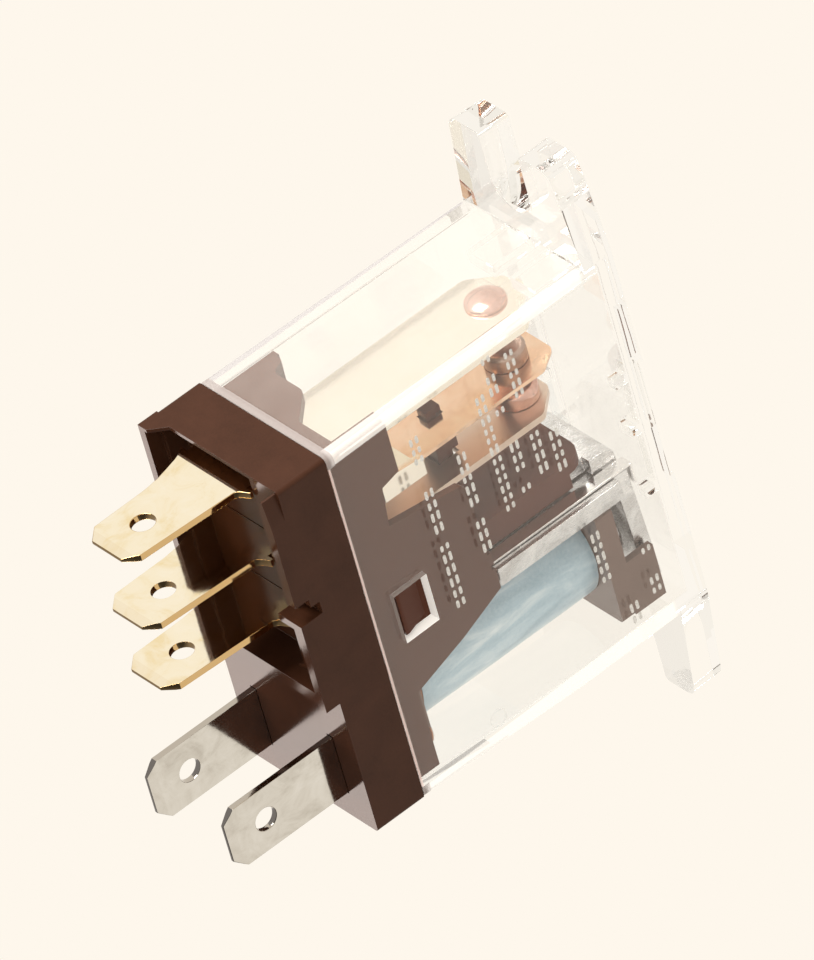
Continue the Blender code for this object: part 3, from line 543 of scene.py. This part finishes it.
def tape_radius(angle, z):
    """Outer radius of the tape, with its lapped end and two sizes of unevenness."""
    lap_start, lap_end = math.radians(-96), math.radians(-40)
    lap_rise, start_rise, start_slope, end_slope = 0.075, 0.15, 6, 14
    radius = TAPE_R
    u = (angle - lap_start) / (lap_end - lap_start)
    if 0 <= u <= 1:
        radius += lap_rise * min(1.0, (1 - u) * end_slope) * min(1.0, u * start_slope + start_rise)
    # height, frequency around, frequency along z, offset
    for height, around, along, offset in ((0.016, 2.2, 0.16, 0), (0.010, 5.0, 0.35, 9)):
        place = (math.cos(angle) * around, math.sin(angle) * around, z * along + offset)
        radius += height * noise.noise(Vector(place))
    return radius


def make_tape():
    """Wrapped tape: its end laps over itself and its long edges are a little uneven."""
    segments, rows = 128, 44
    edge_wander, edge_round, inner_inset = 0.05, 0.03, 0.02
    upper_seed, lower_seed = 3.0, 7.0
    bottom, top = TAPE_Z
    angles = [-math.pi + TAU * j / segments for j in range(segments)]
    rings = []
    for i in range(rows + 1):
        k = i / rows
        ring = []
        for angle in angles:
            seed = upper_seed if k > 0.5 else lower_seed
            place = Vector((math.cos(angle) * 3, math.sin(angle) * 3, seed))
            wander = edge_wander * noise.noise(place)
            z = bottom + (top - bottom) * k + wander * (2 * k - 1) ** 2
            radius = tape_radius(angle, z) - (edge_round if i in (0, rows) else 0.0)
            ring.append(coil_point(radius, angle, z))
        rings.append(ring)
    for z in (top - inner_inset, bottom + inner_inset):
        rings.append([coil_point(WIND_R + TAPE_GAP, angle, z) for angle in angles])
    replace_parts(housing_piece("wrapped_tape", skin(rings), tape, sharp=50), "coil_tape")


def cover_face_y(z):
    """Half width of the cover's outer side face at a height."""
    (z0, y0), (z1, y1) = COVER_SIDE[:2] if z < COVER_SIDE[1][0] else COVER_SIDE[1:]
    return y0 + (y1 - y0) * (z - z0) / (z1 - z0)


def dash(bm, x0, x1, z, height):
    """One printed dash: a thin plate with round ends on the cover's -Y face."""
    radius, steps = height / 2, 4
    lifts = (0.006, 0.022)  # back and face of the plate, off the cover
    outline = []
    for centre, start in ((x1 - radius, -90), (x0 + radius, 90)):
        for k in range(steps + 1):
            t = math.radians(start + 180 * k / steps)
            outline.append((centre + radius * math.cos(t), z + radius * math.sin(t)))
    back, face = [[bm.verts.new(Vector((px, -(cover_face_y(pz) + lift), pz)) * MM)
                   for px, pz in outline] for lift in lifts]
    for i in range(len(outline)):
        j = (i + 1) % len(outline)
        bm.faces.new((back[i], back[j], face[j], face[i]))
    bm.faces.new(back[::-1])
    bm.faces.new(face)


# Printed rows on the -Y face: x start, x end, z
PRINT_ROWS = (
    (-2.8, 12.0, 18.05), (-0.3, 8.4, 15.0), (1.4, 11.2, 12.5), (1.9, 6.4, 11.0),
    (2.3, 6.9, 9.35), (1.5, 5.6, 7.95), (8.6, 13.4, 11.3), (8.9, 13.1, 9.55),
    (-8.7, -3.9, 7.1), (-12.1, -7.7, 3.7), (-13.2, -11.3, 5.7),
)


def make_print():
    """Rows of plain dashes in pairs, one above the other. No letters."""
    widths, gap, shortest = (0.50, 0.62, 0.74), 0.26, 0.4
    height, half_spacing, blank_chance = 0.25, 0.24, 0.12
    rng = random.Random(11)
    bm = bmesh.new()
    for x, x_end, z in PRINT_ROWS:
        while x < x_end - shortest:
            width = rng.choice(widths)
            if rng.random() > blank_chance:
                for dz in (half_spacing, -half_spacing):
                    dash(bm, x, min(x + width, x_end), z + dz, height)
            x += width + gap
    housing_piece("printed_dashes", bm, ink, sharp=30)


def make_gate_mark():
    """Round witness mark of the moulding gate: a thin ring on the cover's -Y face."""
    centre_x, centre_z, radius, thick = -12.6, 17.8, 0.62, 0.055
    lift, segments, sides = 0.062, 32, 8
    rings = []
    for i in range(segments):
        a = TAU * i / segments
        ring = []
        for k in range(sides):
            b = TAU * k / sides
            reach = radius + thick * math.cos(b)
            z = centre_z + reach * math.sin(a)
            y = -(cover_face_y(z) + lift + thick * math.sin(b))
            ring.append((centre_x + reach * math.cos(a), y, z))
        rings.append(ring)
    housing_piece("gate_mark", skin(rings), clear, sharp=60)


make_winding()
make_tape()
make_print()
make_gate_mark()


# ---------------------------------------------------------------- floor, world, lights
def make_floor():
    """Glowing disc just under the relay, in metres."""
    radii, segments, height = (0.06, 0.2, 0.7, 2.0, 6.0), 64, -0.0004
    bm = bmesh.new()
    centre = bm.verts.new((0, 0, 0))
    inner = None
    for radius in radii:
        ring = [bm.verts.new((radius * math.cos(TAU * i / segments),
                              radius * math.sin(TAU * i / segments), 0)) for i in range(segments)]
        for i in range(segments):
            j = (i + 1) % segments
            if inner is None:
                bm.faces.new((centre, ring[i], ring[j]))
            else:
                bm.faces.new((inner[i], ring[i], ring[j], inner[j]))
        inner = ring
    floor = add_object("floor", finish_mesh("floor", bm))
    floor.location = (0, 0, height)
    material, g = new_material("studio_floor")
    g.surface(g.add("ShaderNodeEmission", Color=(0.9911, 0.9301, 0.8388), Strength=1.0))
    material.cycles.emission_sampling = "NONE"
    floor.data.materials.append(material)


def make_world():
    """Even pale surroundings; early reflections see a dimmer room, lighter at the horizon."""
    horizon_gain = 0.10
    last_depth = 3.5  # reflections deeper than this see the even light
    world = bpy.data.worlds.new("studio")
    scene.world = world
    g = Graph(world, "ShaderNodeOutputWorld")
    world.cycles.sampling_method = "NONE"
    _, y, z = g.split(g.add("ShaderNodeTexCoord").outputs["Generated"])
    horizon = g.remap(z, src=(0.0, 0.3), to=(1.0, 0.0))
    side = g.remap(y, src=(-0.45, 0.35), to=(0.06, 0.34))
    room = g.add("ShaderNodeBackground", Color=(0.98, 0.935, 0.925),
                 Strength=g.math("ADD", g.product(horizon, horizon_gain), side))
    even = g.add("ShaderNodeBackground", Color=(0.985, 0.935, 0.86), Strength=0.99)
    path = g.add("ShaderNodeLightPath").outputs
    early = g.math("LESS_THAN", path["Ray Depth"], last_depth)
    g.surface(g.mix_shader(g.product(path["Is Glossy Ray"], early), even, room))


def square_light(name, place, target, size, power, color):
    """Square area light aimed at target; lengths in metres, power in watts."""
    data = bpy.data.lights.new(name, "AREA")
    data.shape = "RECTANGLE"
    data.size = data.size_y = size
    data.energy = power
    data.color = color
    light = add_object(name, data)
    light.location = place
    light.rotation_mode = "QUATERNION"
    light.rotation_quaternion = (Vector(target) - Vector(place)).to_track_quat("-Z", "Y")
    return light


def make_lights():
    """Key light from +X, and two lights that reach the base only."""
    square_light("key", place=(0.50, 0.10, 0.16), target=(0, 0, 0.02), size=0.3, power=3.6,
                 color=(1, 0.97, 0.93))
    only_base = bpy.data.collections.new("only_base")
    only_base.objects.link(nodes["base"])
    target, distance = Vector((0, 0, 0.028)), 0.6
    mirrored_view = (VIEW[0], VIEW[1], -VIEW[2])
    # name, direction from the target, size, power
    for name, way, size, power in (("strip_far", mirrored_view, 0.10, 0.085),
                                   ("strip_top", (0.0, 0.68, 0.73), 0.20, 0.9)):
        strip = square_light(name, place=Vector(way).normalized() * distance + target,
                             target=target, size=size, power=power, color=(1.0, 0.86, 0.78))
        strip.light_linking.receiver_collection = only_base


def make_camera():
    """Very long lens; the picture's right side points mostly down in the scene."""
    data = bpy.data.cameras.new("camera")
    camera = add_object("camera", data)
    data.type = "PERSP"
    data.sensor_fit = "AUTO"
    data.sensor_width = 36.0
    data.lens = 753.5625
    data.clip_start, data.clip_end = 0.05, 20.0
    forward = Vector(VIEW).normalized()
    right = Vector((-0.2204, -0.6238, -0.7498))
    right = (right - forward * right.dot(forward)).normalized()
    up = right.cross(forward)
    camera.rotation_mode = "QUATERNION"
    camera.rotation_quaternion = Matrix((right, up, -forward)).transposed().to_quaternion()
    camera.location = Vector((806.6, -875.8, 508.1)) * MM
    scene.camera = camera


make_floor()
make_world()
make_lights()
make_camera()
